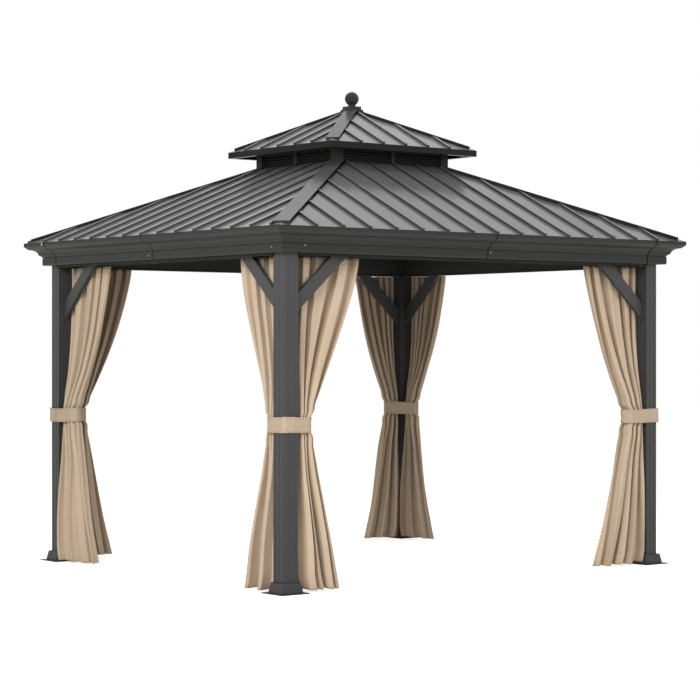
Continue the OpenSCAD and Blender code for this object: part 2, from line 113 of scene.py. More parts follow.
def powder_coat(name, body, pale, worn, roughness, shine):
    """Polyester powder coat on aluminium: an even satin skin, thinner and paler at the edges."""
    material, tree = new_material(name)
    place = add_node(tree, "ShaderNodeTexCoord").outputs["Object"]
    # The coat's tone drifts over about 300 mm, as sprayed powder does
    drift = add_node(
        tree,
        "ShaderNodeTexNoise",
        settings={"Scale": 1 / (300 * MM), "Detail": 3.0, "Roughness": 0.55},
        links={"Vector": place},
    )
    tone = blend_colours(tree, drift.outputs[0], body, pale)
    # A rounded normal differs from the flat one only close to an edge
    rounded = add_node(tree, "ShaderNodeBevel", settings={"Radius": 3 * MM}, samples=4)
    flat = add_node(tree, "ShaderNodeNewGeometry")
    match = add_node(
        tree,
        "ShaderNodeVectorMath",
        links={0: rounded.outputs[0], 1: flat.outputs["True Normal"]},
        operation="DOT_PRODUCT",
    )
    edge = add_node(
        tree,
        "ShaderNodeMapRange",
        settings={"From Min": 1.0, "From Max": 0.8, "To Min": 0.0, "To Max": 0.55},
        links={"Value": match.outputs["Value"]},
    )
    colour = blend_colours(tree, edge.outputs[0], tone, worn)
    # The coat is darkened towards the floor to follow the shading in the photograph. The real
    # coat is even, so SHADE_SHARE goes to 0 where the part is lit in another way
    height = add_node(tree, "ShaderNodeSeparateXYZ", links={0: place})
    low = add_node(
        tree,
        "ShaderNodeMapRange",
        settings={
            "From Min": 0.0,
            "From Max": SHADE_TOP,
            "To Min": SHADE_SHARE,
            "To Max": 0.0,
        },
        links={"Value": height.outputs["Z"]},
    )
    colour = blend_colours(tree, low.outputs[0], colour, SHADE_COLOUR)
    # The real grain is about 0.8 mm, too fine to show here, so it is drawn at 4 mm
    grain = add_node(
        tree,
        "ShaderNodeTexNoise",
        settings={"Scale": 1 / (4 * MM), "Detail": 2.0},
        links={"Vector": place},
    )
    bump = add_node(
        tree,
        "ShaderNodeBump",
        settings={"Strength": 0.25, "Distance": 0.3 * MM},
        links={"Height": grain.outputs[0], "Normal": rounded.outputs[0]},
    )
    gloss = add_node(
        tree,
        "ShaderNodeMapRange",
        settings={"To Min": roughness - 0.06, "To Max": roughness + 0.06},
        links={"Value": drift.outputs[0]},
    )
    shader = add_node(
        tree,
        "ShaderNodeBsdfPrincipled",
        settings={"Metallic": 0.0, "IOR": 1.5, "Specular IOR Level": shine},
        links={"Base Color": colour, "Roughness": gloss.outputs[0], "Normal": bump.outputs[0]},
    )
    finish_material(tree, shader)
    return material


def coil_coated_steel(name, across, pitch, body, pale):
    """Satin grey coil-coated steel: panels differ a little and are slightly wavy down the slope."""
    material, tree = new_material(name)
    place = add_node(tree, "ShaderNodeTexCoord").outputs["Object"]
    split = add_node(tree, "ShaderNodeSeparateXYZ", links={0: place})
    # Panels are counted from the middle of the side, one to each rib pitch
    count = add_node(
        tree,
        "ShaderNodeMath",
        settings={1: pitch},
        links={0: split.outputs[across]},
        operation="DIVIDE",
    )
    panel = add_node(tree, "ShaderNodeMath", links={0: count.outputs[0]}, operation="FLOOR")
    shade = add_node(
        tree, "ShaderNodeTexWhiteNoise", links={"W": panel.outputs[0]}, noise_dimensions="1D"
    )
    # Faint streaks run down the slope, about 30 mm apart. In the roughness they are the rolled
    # sheet's own; in the colour they are partly the sheet's own and partly painted reflection
    stretch = (30.0, 1.2, 1.2) if across == "X" else (1.2, 30.0, 1.2)
    along_slope = add_node(
        tree, "ShaderNodeMapping", settings={"Scale": stretch}, links={"Vector": place}
    )
    streaks = add_node(
        tree,
        "ShaderNodeTexNoise",
        settings={"Scale": 1.0, "Detail": 3.0},
        links={"Vector": along_slope.outputs[0]},
    )
    # Each panel's random tone and the streaks set the colour between body and pale: partly the
    # sheets' own differences, partly painted reflection of uneven highlights
    spread = add_node(
        tree,
        "ShaderNodeMath",
        settings={1: 0.5},
        links={0: shade.outputs["Value"], 2: streaks.outputs[0]},
        operation="MULTIPLY_ADD",
    )
    level = add_node(
        tree,
        "ShaderNodeMapRange",
        settings={"From Min": 0.2, "From Max": 1.2},
        links={"Value": spread.outputs[0]},
    )
    panel_colour = blend_colours(tree, level.outputs[0], body, pale)
    # Painted shade: faces turned down or on edge are drawn near black, and the ribs' steep flanks
    # dark grey
    turned = add_node(
        tree,
        "ShaderNodeSeparateXYZ",
        links={0: add_node(tree, "ShaderNodeNewGeometry").outputs["True Normal"]},
    )
    steep = add_node(
        tree, "ShaderNodeMath", links={0: turned.outputs[across]}, operation="ABSOLUTE"
    )
    rib_flank_shade = add_node(
        tree,
        "ShaderNodeMath",
        settings={1: 0.9},
        links={0: steep.outputs[0]},
        operation="GREATER_THAN",
    )
    edge_and_underside_shade = add_node(
        tree,
        "ShaderNodeMath",
        settings={1: 0.35},
        links={0: turned.outputs["Z"]},
        operation="LESS_THAN",
    )
    skin = blend_colours(tree, edge_and_underside_shade.outputs[0], panel_colour, "#232423")
    colour = blend_colours(tree, rib_flank_shade.outputs[0], skin, "#5a5b5b")
    # Thin sheet is never quite flat: shallow hollows about 250 mm long
    hollows = add_node(
        tree,
        "ShaderNodeTexNoise",
        settings={"Scale": 4.0, "Detail": 1.0},
        links={"Vector": place},
    )
    bump = add_node(
        tree,
        "ShaderNodeBump",
        settings={"Strength": 0.4, "Distance": 4 * MM},
        links={"Height": hollows.outputs[0]},
    )
    gloss = add_node(
        tree,
        "ShaderNodeMapRange",
        settings={"To Min": 0.15, "To Max": 0.24},
        links={"Value": streaks.outputs[0]},
    )
    shader = add_node(
        tree,
        "ShaderNodeBsdfPrincipled",
        settings={"Metallic": 0.75, "Specular Tint": srgb("#b4b4b4")},
        links={"Base Color": colour, "Roughness": gloss.outputs[0], "Normal": bump.outputs[0]},
    )
    finish_material(tree, shader)
    return material


frame_coat = powder_coat("charcoal_powder_coat", "#343536", "#3a3b3c", "#4e4f50", 0.5, 0.4)
# Painted shade: the crown, the finial and the joint fillers take a darker copy of the frame's coat,
# as the real crown is the posts' colour
crown_shaded_coat = powder_coat("crown_painted_shade_coat", "#222322", "#272826", "#3f403e", 0.5, 0.25)
vent_coat = powder_coat("black_powder_coat", "#1f201f", "#262726", "#333433", 0.6, 0.25)
# Painted shade: the roof frame and the curtain tracks take a near-black copy of the coat for the
# shade under the roof
underside_shade_coat = powder_coat("underside_painted_shade_coat", "#121310", "#171815", "#242521", 0.6, 0.25)
# The real roof is one finish. Its tones here were fitted to the light in the photograph, slope
# by slope, so the east and west slopes are paler from every side
roof_ns = coil_coated_steel("coil_coated_steel_ns", "X", MAIN_PITCH, "#8e8e91", "#a8a8aa")
roof_ew = coil_coated_steel("coil_coated_steel_ew", "Y", MAIN_PITCH, "#acacae", "#cacacb")
upper_ns = coil_coated_steel("upper_coil_coated_steel_ns", "X", UPPER_PITCH, "#a2a2a4", "#bebebf")
upper_ew = coil_coated_steel("upper_coil_coated_steel_ew", "Y", UPPER_PITCH, "#b6b6b7", "#d4d4d5")
# Painted shade: the hip caps take a darker copy of the roof's finish
shaded_cap_sheet = coil_coated_steel("cap_coil_coated_steel_painted_shade", "X", MAIN_PITCH, "#7e7e80", "#909091")

COATS = (
    ("post_", frame_coat),
    ("boot_", frame_coat),
    ("braces_", frame_coat),
    ("finial", crown_shaded_coat),
    ("corner_", crown_shaded_coat),
    ("beam_", crown_shaded_coat),
    ("curtain_tracks", underside_shade_coat),
    ("roof_frame", underside_shade_coat),
    ("roof_south", roof_ns),
    ("roof_north", roof_ns),
    ("roof_east", roof_ew),
    ("roof_west", roof_ew),
    ("hip_cap_", shaded_cap_sheet),
    ("vent_", vent_coat),
    ("upper_roof_south", upper_ns),
    ("upper_roof_north", upper_ns),
    ("upper_roof_east", upper_ew),
    ("upper_roof_west", upper_ew),
    ("upper_hip_caps", shaded_cap_sheet),
)
for node_name, node_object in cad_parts.items():
    for start, coat in COATS:
        if node_name.startswith(start):
            node_object.data.materials.clear()
            node_object.data.materials.append(coat)


def woven_polyester(name, pale, body, deep, hems, sides):
    """Piece-dyed polyester cloth: matt, slubbed yarns, a soft sheen where it turns away."""
    material, tree = new_material(name)
    cloth_map = add_node(tree, "ShaderNodeUVMap", uv_map="UVMap").outputs[0]
    place = add_node(tree, "ShaderNodeTexCoord").outputs["Object"]
    split = add_node(tree, "ShaderNodeSeparateXYZ", links={0: cloth_map})
    # The real threads are about 0.5 mm apart, too fine to show here, so they are drawn 2.5 mm apart
    threads = []
    for direction in ("X", "Y"):
        wave = add_node(
            tree,
            "ShaderNodeTexWave",
            settings={
                "Scale": 1 / (2.5 * MM) / 20 * 2 * math.pi,
                "Distortion": 1.2,
                "Detail": 2.0,
                "Detail Scale": 0.6,
            },
            links={"Vector": cloth_map},
            wave_type="BANDS",
            bands_direction=direction,
        )
        threads.append(wave.outputs["Fac"])
    weave = add_node(
        tree, "ShaderNodeMath", links={0: threads[0], 1: threads[1]}, operation="MULTIPLY"
    )
    # Slubs are thicker stretches of yarn, 40 mm long and 3 mm high
    long_yarn = add_node(
        tree,
        "ShaderNodeMapping",
        settings={"Scale": (25.0, 330.0, 1.0)},
        links={"Vector": cloth_map},
    )
    slubs = add_node(
        tree,
        "ShaderNodeTexNoise",
        settings={"Scale": 1.0, "Detail": 2.0},
        links={"Vector": long_yarn.outputs[0]},
    )
    # The dye takes unevenly over about 200 mm
    dye = add_node(
        tree, "ShaderNodeTexNoise", settings={"Scale": 5.0, "Detail": 2.0}, links={"Vector": place}
    )
    shade = add_node(
        tree,
        "ShaderNodeMath",
        links={0: slubs.outputs[0], 1: weave.outputs[0]},
        operation="MULTIPLY",
    )
    tone = blend_colours(tree, dye.outputs[0], body, pale)
    level = add_node(
        tree,
        "ShaderNodeMapRange",
        settings={"From Min": 0.0, "From Max": 0.35, "To Min": 0.35, "To Max": 0.0},
        links={"Value": shade.outputs[0]},
    )
    colour = blend_colours(tree, level.outputs[0], tone, deep)
    # Rows of stitches run along the hems and down the side seams
    rows = []
    for axis, places in (("Y", hems), ("X", sides)):
        for seam in places:
            near_seam = add_node(
                tree,
                "ShaderNodeMath",
                settings={1: seam, 2: 1.6 * MM},
                links={0: split.outputs[axis]},
                operation="COMPARE",
            )
            rows.append(near_seam.outputs[0])
    seams = rows[0]
    for row in rows[1:]:
        seams = add_node(
            tree, "ShaderNodeMath", links={0: seams, 1: row}, operation="MAXIMUM"
        ).outputs[0]
    soft_seam = add_node(
        tree, "ShaderNodeMath", settings={1: 0.5}, links={0: seams}, operation="MULTIPLY"
    )
    colour = blend_colours(tree, soft_seam.outputs[0], colour, deep)
    fine = add_node(
        tree,
        "ShaderNodeBump",
        settings={"Strength": 0.35, "Distance": 0.4 * MM},
        links={"Height": weave.outputs[0]},
    )
    # Soft creases from packing, 60 mm across
    creases = add_node(
        tree, "ShaderNodeTexNoise", settings={"Scale": 16.0, "Detail": 3.0}, links={"Vector": place}
    )
    bump = add_node(
        tree,
        "ShaderNodeBump",
        settings={"Strength": 0.5, "Distance": 5 * MM},
        links={"Height": creases.outputs[0], "Normal": fine.outputs[0]},
    )
    shader = add_node(
        tree,
        "ShaderNodeBsdfPrincipled",
        settings={
            "Roughness": 0.9,
            "IOR": 1.5,
            "Specular IOR Level": 0.25,
            "Sheen Weight": 0.15,
            "Sheen Roughness": 0.5,
        },
        links={"Base Color": colour, "Normal": bump.outputs[0]},
    )
    finish_material(tree, shader)
    return material


# A curtain's flat width is estimated. At 0.95 m the drawn folds took up too little of the cloth
CLOTH_WIDE = 0.88
CLOTH_HIGH = 1.97
TIE_H = 95 * MM
# A 25 mm hem and a 40 mm header tape
CLOTH_HEMS = (25 * MM, CLOTH_HIGH - 40 * MM, CLOTH_HIGH - 12 * MM)
CLOTH_SIDES = (15 * MM, CLOTH_WIDE - 15 * MM)
STRAP_HEMS = (8 * MM, TIE_H - 8 * MM)
curtain_cloth = woven_polyester(
    "woven_polyester_beige", "#c9b8a4", "#bca992", "#8f7961", CLOTH_HEMS, CLOTH_SIDES
)
strap_cloth = woven_polyester(
    "woven_polyester_strap", "#bcac99", "#af9f8a", "#88755f", STRAP_HEMS, ()
)


# Curtains and their ties


POST_AT = (1.4925, 1.295)
POST_HALF = 52.5 * MM
TRACK_OFF = 56 * MM
TIE_Z = 0.990
CLOTH_TOP = 1.9825
HEM_Z = 12 * MM
BRACE_Z = 1.635
# Distances from a post's centre, along a curtain's own side
NEAR_TOP = 58.5 * MM
NEAR_WAIST = 56.5 * MM
NEAR_LOW = 63 * MM
# Half of the room that the folds take up across the track
FOLD_TOP = 36 * MM
FOLD_WAIST = 43 * MM
FOLD_HEM = 62 * MM
HEM_SWING = 42 * MM
# Beside the boot the cloth is pushed out this far, between these two heights
BOOT_PUSHES = ((7 * MM, 0.095, 0.064), (12 * MM, 0.060, 0.010))
# How far the cloth swells out of the tie, how far from the tie, and over what length
SWELL = 12 * MM
SWELL_AT = 30 * MM
# Heights from which the top sags between its hooks and the hem dips, and by how much
SAG_FROM = 1.85
SAG = 1.5 * MM
DIP_FROM = 0.3
DIP = 4 * MM
# Rows of the cloth lie closer together this near to the tie
TIE_NEAR = 75 * MM
CLOTH_FLAT = (CLOTH_WIDE, CLOTH_HIGH)
CLOTH_THICK = 1.2 * MM
CLOTH_COLUMNS = 192
SAMPLES = 1600
# Each panel's far edges at its top, tie and hem, from the post's centre, its number of folds,
# and the power by which it fans out above the tie (1 is straight), all fitted to the outline
# that the curtains have in the photograph
PANELS = {
    "sw_x": (0.575, 0.172, 0.360, 4, 1.40),
    "sw_y": (0.520, 0.145, 0.350, 4, 1.70),
    "se_x": (0.530, 0.217, 0.540, 4, 1.20),
    "se_y": (0.500, 0.170, 0.430, 4, 1.25),
    "ne_x": (0.415, 0.160, 0.405, 5, 1.15),
    "ne_y": (0.420, 0.165, 0.410, 5, 1.25),
    "nw_x": (0.515, 0.185, 0.425, 4, 1.25),
    "nw_y": (0.550, 0.220, 0.495, 4, 1.25),
}
# The panels whose rounded folds face into the gazebo
FACING_IN = ("nw_x", "se_y", "ne_x", "ne_y")
CLOTH_ROWS = np.concatenate(
    [
        np.linspace(CLOTH_TOP, TIE_Z + TIE_NEAR, 56, endpoint=False),
        np.linspace(TIE_Z + TIE_NEAR, TIE_Z - TIE_NEAR, 16, endpoint=False),
        np.linspace(TIE_Z - TIE_NEAR, HEM_Z, 48),
    ]
)


def mixed(first, second, share):
    return first + (second - first) * share


def ramp(value, low, high):
    """Rises smoothly from 0 at low to 1 at high."""
    share = np.clip((value - low) / (high - low), 0, 1)
    return share * share * (3 - 2 * share)


def fold_line(height, off, panel, waves, facing):
    """The cloth's line at one height: distances along and across its side, from the post."""
    far_top, far_waist, far_hem, folds, fan = panel
    above = height > TIE_Z
    reach = abs(height - TIE_Z) - TIE_H / 2
    full = (CLOTH_TOP - TIE_Z if above else TIE_Z - HEM_Z) - TIE_H / 2
    share = float(np.clip(reach / full, 0, 1))
    slid = math.sin(math.pi / 2 * min(share / (BRACE_Z - TIE_Z - TIE_H / 2) * full, 1))
    if above:
        near = mixed(NEAR_WAIST, NEAR_TOP, slid)
        far = mixed(far_waist, far_top, 1 - (1 - share) ** fan)
        room = mixed(FOLD_WAIST, FOLD_TOP, share)
        middle = off * slid
        broad = 0.22 * (1 - share)
    else:
        # The cloth stays beside the post and is pushed out by the boot
        near = mixed(NEAR_WAIST, NEAR_LOW, share)
        near += sum(push * ramp(-height, -high, -low) for push, high, low in BOOT_PUSHES)
        far = mixed(far_waist, far_hem, share)
        room = mixed(FOLD_WAIST, FOLD_HEM, share)
        # The hem swings towards the side from which each pair is seen to hang, across the post
        middle = -math.copysign(HEM_SWING, off) * ramp(share, 0.0, 0.8)
        broad = 0.22 + 0.25 * ramp(share, 0.0, 0.7)
    # The cloth swells a little where it comes out of the tie
    swell = math.exp(-(((reach - SWELL_AT) / SWELL_AT) ** 2)) if reach > 0 else 0.0
    far += SWELL * swell
    t = np.linspace(0, 1, SAMPLES)
    drift = sum(
        size * np.sin(2 * math.pi * (across * t + down * height + start))
        for size, across, down, start in waves["drift"]
    )
    turn = 2 * math.pi * (folds * t + drift + 0.25)
    strength = 1 + sum(
        size * np.sin(2 * math.pi * (across * t + down * height + start))
        for size, across, down, start in waves["strength"]
    )
    # Wide rounded folds on one side of the cloth, narrow valleys between them
    sharp = 0.24 * ramp(share, 0.0, 0.25)
    wave = np.sin(turn) + sharp * np.cos(2 * turn)
    wave = (1 - broad) * wave * strength + broad * np.sin(turn / 2 + waves["start"])
    pinch = mixed(2.2, 0.8, ramp(share, 0.0, 0.3))
    wave = np.tanh(pinch * wave) / math.tanh(pinch * 1.25)
    # The ends are rounded where the tie pulls the bundle together, and square elsewhere
    square = mixed(3.0, 9.0, ramp(share, 0.0, 0.5))
    round_end = (1 - np.clip(np.abs(2 * t - 1), 0, 1) ** square) ** (1 / square)
    pitch = (far - near) / folds
    lean = 0.10 * pitch * np.sin(2 * turn)
    u = near + (far - near) * t - lean * np.minimum(1, 8 * np.minimum(t, 1 - t))
    low, high = 0.0, room
    for _ in range(18):
        depth = (low + high) / 2
        v = depth * wave * round_end
        length = np.hypot(np.diff(u), np.diff(v)).sum()
        low, high = (depth, high) if length < CLOTH_FLAT[0] else (low, depth)
    steps = np.concatenate([[0], np.cumsum(np.hypot(np.diff(u), np.diff(v)))])
    even = np.linspace(0, steps[-1], CLOTH_COLUMNS + 1)
    return np.interp(even, steps, u), np.interp(even, steps, v * facing), middle


def fold_waves(seed):
    """Seeded slow waves that make each panel's folds its own."""
    rng = np.random.default_rng(seed)
    return {
        "drift": [(0.17, 1.1, 0.30, rng.random()), (0.08, 2.1, -0.5, rng.random())],
        "strength": [(0.22, 2.6, 0.3, rng.random()), (0.14, 4.4, -0.5, rng.random())],
        "start": rng.random() * 2 * math.pi,
    }


def to_world(corner, run, u, v, z):
    """Turns distances from a post, along and across a panel's run, into a place in the scene."""
    sx, sy = CORNERS[corner]
    if run == "y":
        u, v = v, u
    return np.stack([sx * (POST_AT[0] - u), sy * (POST_AT[1] - v), np.broadcast_to(z, u.shape)], -1)


def grid_piece(name, points, uv_size, material, thickness):
    """A sheet from a bmesh grid whose corners move to the given rows of points, top row first."""
    rows, columns = points.shape[0] - 1, points.shape[1] - 1
    form = bmesh.new()
    form.loops.layers.uv.new("UVMap")
    bmesh.ops.create_grid(form, x_segments=columns, y_segments=rows, size=1, calc_uvs=True)
    for vertex in form.verts:
        column = round((vertex.co.x + 1) / 2 * columns)
        row = round((1 - vertex.co.y) / 2 * rows)
        vertex.co = points[row, column]
    uv_layer = form.loops.layers.uv.active
    for face in form.faces:
        face.smooth = True
        for loop in face.loops:
            u, v = loop[uv_layer].uv
            loop[uv_layer].uv = (u * uv_size[0], v * uv_size[1])
    mesh = bpy.data.meshes.new(name)
    form.to_mesh(mesh)
    form.free()
    mesh.materials.append(material)
    piece = bpy.data.objects.new(name, mesh)
    bpy.context.scene.collection.objects.link(piece)
    wall = piece.modifiers.new("thickness", "SOLIDIFY")
    wall.thickness = thickness
    wall.offset = 0
    return piece


def track_side(corner):
    """The north-east pair hangs on the outer track, and the others on the inner one."""
    return -TRACK_OFF if corner == "ne" else TRACK_OFF


tied_lines = {}
hook_places = []
for corner_index, corner in enumerate(CORNERS):
    off = track_side(corner)
    tied_lines[corner] = []
    for run_index, run in enumerate(("x", "y")):
        panel = PANELS[f"{corner}_{run}"]
        waves = fold_waves(20 + 2 * corner_index + run_index)
        facing = 1 if f"{corner}_{run}" in FACING_IN else -1
        rows = []
        for height in CLOTH_ROWS:
            u, v, middle = fold_line(height, off, panel, waves, facing)
            z = np.full(u.shape, height)
            # The top sags between its hooks and the hem dips where a fold swings out
            top_share = ramp(height, SAG_FROM, CLOTH_TOP)
            hem_share = ramp(-height, -DIP_FROM, -HEM_Z)
            z -= top_share * SAG * np.abs(v) / FOLD_TOP
            z += hem_share * DIP * (1 + v / FOLD_HEM)
            rows.append(to_world(corner, run, u, middle + v, z))
            if abs(height - TIE_Z) < TIE_H / 2:
                tied_lines[corner].append(rows[-1][:, :2])
            if height == CLOTH_ROWS[0]:
                crossings = np.nonzero(np.diff(np.sign(v)))[0]
                hook_places += [rows[-1][c] for c in crossings]
        piece = grid_piece(
            f"curtain_{corner}_{run}", np.array(rows), CLOTH_FLAT, curtain_cloth, CLOTH_THICK
        )
        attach(piece, BODY)
        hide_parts(f"curtains_{corner}")


def hull_line(points):
    """The convex outline of points in a plane, in order."""
    points = sorted(map(tuple, points))

    def chain(ordered):
        line = []
        for point in ordered:
            while len(line) > 1 and (
                (line[-1][0] - line[-2][0]) * (point[1] - line[-2][1])
                - (line[-1][1] - line[-2][1]) * (point[0] - line[-2][0])
                <= 0
            ):
                line.pop()
            line.append(point)
        return line[:-1]

    return np.array(chain(points) + chain(points[::-1]))


STRAP_THICK = 2.2 * MM
# Clear of the post and the cloth, as the rounded corners would cut them at 2 mm
STRAP_GAP = 4.5 * MM
STRAP_LAP = 90 * MM
STRAP_ROWS = 14
STRAP_COLUMNS = 300
LAP_RISE = 3.2 * MM
LAP_DROP = 2 * MM
CREASE = 0.45 * MM
EDGE_FLARE = 1.2 * MM
SLUMP = 3 * MM
for corner_index, corner in enumerate(CORNERS):
    sx, sy = CORNERS[corner]
    centre = np.array([sx * POST_AT[0], sy * POST_AT[1]])
    post = [centre + POST_HALF * np.array([a, b]) for a in (-1, 1) for b in (-1, 1)]
    outline = hull_line(np.concatenate(tied_lines[corner] + [post]))
    closed = np.vstack([outline, outline[:1]])
    steps = np.concatenate([[0], np.cumsum(np.hypot(*np.diff(closed, axis=0).T))])
    girth = steps[-1]
    # The lap starts at the post's outer corner, and the strap goes round once and on over the lap
    outer = np.argmin(np.hypot(*(outline - centre - POST_HALF * np.array([-1, -1]) * [-sx, -sy]).T))
    start = steps[outer] - 12 * MM
    walk = start + np.linspace(0, girth + STRAP_LAP, STRAP_COLUMNS + 1)
    blur = np.arange(-12, 13) * MM
    x = np.mean([np.interp((walk + b) % girth, steps, closed[:, 0]) for b in blur], axis=0)
    y = np.mean([np.interp((walk + b) % girth, steps, closed[:, 1]) for b in blur], axis=0)
    along = np.stack([np.gradient(x), np.gradient(y)], -1)
    along /= np.linalg.norm(along, axis=1, keepdims=True)
    out = np.stack([along[:, 1], -along[:, 0]], -1)
    passed = (walk - start) / (girth + STRAP_LAP)
    lapped = ramp(passed, 1 - 1.35 * STRAP_LAP / girth, 1 - 0.95 * STRAP_LAP / girth)
    rng = np.random.default_rng(60 + corner_index)
    starts = rng.random((6, 2)) * 2 * math.pi
    rows = []
    for row in range(STRAP_ROWS + 1):
        share = row / STRAP_ROWS * 2 - 1
        # Long creases run along the pull, deepest in the middle of a side
        crease = sum(
            np.sin(2 * math.pi * k * passed + a + share * (2.2 + 0.8 * k) * math.sin(b))
            for k, (a, b) in enumerate(starts, 1)
        )
        push = STRAP_GAP + lapped * LAP_RISE + CREASE * crease + EDGE_FLARE * abs(share) ** 3
        slump = SLUMP * np.sin(2 * math.pi * 2 * passed + starts[0, 0]) * (1 - 0.2 * share)
        z = TIE_Z - share * TIE_H / 2 * 0.97 + slump - lapped * LAP_DROP
        place = np.stack([x, y], -1) + out * push[:, None]
        rows.append(np.column_stack([place, z]))
    flat = (float(girth + STRAP_LAP), TIE_H)
    strap = grid_piece(f"strap_{corner}", np.array(rows), flat, strap_cloth, STRAP_THICK)
    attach(strap, BODY)
    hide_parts(f"tie_{corner}")


# Small hardware


def plated_steel(name, colour, roughness):
    """Electroplated steel: bright metal, dulled in spots where it was handled."""
    material, tree = new_material(name)
    place = add_node(tree, "ShaderNodeTexCoord").outputs["Object"]
    # Handling marks are about 2 mm across
    spots = add_node(
        tree,
        "ShaderNodeTexNoise",
        settings={"Scale": 1 / (2 * MM), "Detail": 2.0},
        links={"Vector": place},
    )
    dull = add_node(
        tree,
        "ShaderNodeMapRange",
        settings={"To Min": roughness - 0.1, "To Max": roughness + 0.1},
        links={"Value": spots.outputs[0]},
    )
    tone = add_node(
        tree, "ShaderNodeMapRange", settings={"To Max": 0.5}, links={"Value": spots.outputs[0]}
    )
    tint = blend_colours(tree, tone.outputs[0], colour, "#4a463e")
    shader = add_node(
        tree,
        "ShaderNodeBsdfPrincipled",
        settings={"Metallic": 1.0},
        links={"Base Color": tint, "Roughness": dull.outputs[0]},
    )
    finish_material(tree, shader)
    return material


def moulded_plastic(name, colour, pale):
    """Black polypropylene plugs: moulded with a fine spark-eroded grain."""
    material, tree = new_material(name)
    place = add_node(tree, "ShaderNodeTexCoord").outputs["Object"]
    # The real grain is 0.1 mm, too fine to show here, so it is drawn at 1 mm
    grain = add_node(
        tree,
        "ShaderNodeTexNoise",
        settings={"Scale": 1 / MM, "Detail": 1.0},
        links={"Vector": place},
    )
    tint = blend_colours(tree, grain.outputs[0], colour, pale)
    bump = add_node(
        tree,
        "ShaderNodeBump",
        settings={"Strength": 0.3, "Distance": 0.1 * MM},
        links={"Height": grain.outputs[0]},
    )
    shader = add_node(
        tree,
        "ShaderNodeBsdfPrincipled",
        settings={"Roughness": 0.6, "IOR": 1.49},
        links={"Base Color": tint, "Normal": bump.outputs[0]},
    )
    finish_material(tree, shader)
    return material


brass_plate = plated_steel("yellow_zinc_plate", "#c9a25a", 0.3)
zinc_plate = plated_steel("bright_zinc_plate", "#cfd0d0", 0.28)
black_zinc = plated_steel("black_zinc_plate", "#2b2b2c", 0.4)
plug_plastic = moulded_plastic("black_polypropylene", "#161716", "#202120")


def add_piece(name, form, material):
    """Turns a finished bmesh into a piece that rides on the gazebo."""
    mesh = bpy.data.meshes.new(name)
    form.to_mesh(mesh)
    form.free()
    mesh.materials.append(material)
    piece = bpy.data.objects.new(name, mesh)
    bpy.context.scene.collection.objects.link(piece)
    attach(piece, BODY)
    return piece


def add_screw(form, place, outwards, radius, height):
    """A pan head with a recess, its back at a place and its face outwards."""
    others = set(form.verts)
    made = bmesh.ops.create_cone(
        form, cap_ends=True, segments=16, radius1=radius, radius2=0.72 * radius, depth=height
    )["verts"]
    faces = {face for vertex in made for face in vertex.link_faces}
    top = max(faces, key=lambda face: face.calc_center_median().z)
    bmesh.ops.bevel(
        form,
        geom=list(top.edges),
        affect="EDGES",
        offset=0.15 * radius,
        segments=2,
        profile=0.5,
        material=-1,
    )
    faces = {face for vertex in form.verts if vertex not in others for face in vertex.link_faces}
    top = max(faces, key=lambda face: (round(face.calc_center_median().z, 7), face.calc_area()))
    bmesh.ops.inset_individual(form, faces=[top], thickness=0.25 * radius, depth=-0.3 * height)
    made = [vertex for vertex in form.verts if vertex not in others]
    turn = Vector(outwards).to_track_quat("Z", "Y").to_matrix().to_4x4()
    lift = Matrix.Translation(Vector(place) + Vector(outwards) * height / 2)
    bmesh.ops.transform(form, matrix=lift @ turn, verts=made)


def screws(name, material, places, radius, height):
    form = bmesh.new()
    for place, outwards in places:
        add_screw(form, place, outwards, radius, height)
    return add_piece(name, form, material)


BAND_X = 1.5871
BAND_Y = 1.3896
joint_screws = []
for sx, sy in (CORNERS["sw"], CORNERS["ne"]):
    joint_screws.append(((sx * 1.4202, sy * BAND_Y, 2.042), (0, sy, 0)))
    joint_screws.append(((sx * BAND_X, sy * 1.2841, 2.033), (sx, 0, 0)))
for side in (-1, 1):
    joint_screws.append(((-side * 0.021, side * BAND_Y, 2.038), (0, side, 0)))
    joint_screws.append(((side * BAND_X, -side * 0.046, 2.026), (side, 0, 0)))
screws("joint_screws", brass_plate, joint_screws, 6 * MM, 3 * MM)

brace_screws = []
for sx, sy in CORNERS.values():
    x, y = sx * POST_AT[0], sy * POST_AT[1]
    brace_screws.append(((x - sx * POST_HALF, y, BRACE_Z - 14 * MM), (-sx, 0, 0)))
    brace_screws.append(((x, y - sy * POST_HALF, BRACE_Z - 14 * MM), (0, -sy, 0)))
screws("brace_screws", black_zinc, brace_screws, 7 * MM, 4 * MM)

# A zinc screw closes the crown at one end of each short side
lip_screws = [((side * 1.6813, -side * 1.235, 2.138), (side, 0, 0)) for side in (-1, 1)]
screws("lip_screws", zinc_plate, lip_screws, 8 * MM, 2.5 * MM)


def add_block(form, middle, axes, sizes, edge):
    """A bevelled block, turned so that its sides follow three axes."""
    others = set(form.verts)
    made = bmesh.ops.create_cube(form, size=1)["verts"]
    bmesh.ops.scale(form, vec=sizes, verts=made)
    edges = list({line for vertex in made for line in vertex.link_edges})
    bmesh.ops.bevel(
        form, geom=edges, affect="EDGES", offset=edge, segments=2, profile=0.5, material=-1
    )
    made = [vertex for vertex in form.verts if vertex not in others]
    turn = Matrix([list(axis) for axis in axes]).transposed().to_4x4()
    bmesh.ops.transform(form, matrix=Matrix.Translation(middle) @ turn, verts=made)


SHEET_T = 3 * MM
RIB_H = 15 * MM
RIB_W = 17 * MM
PLUG_T = 2.5 * MM
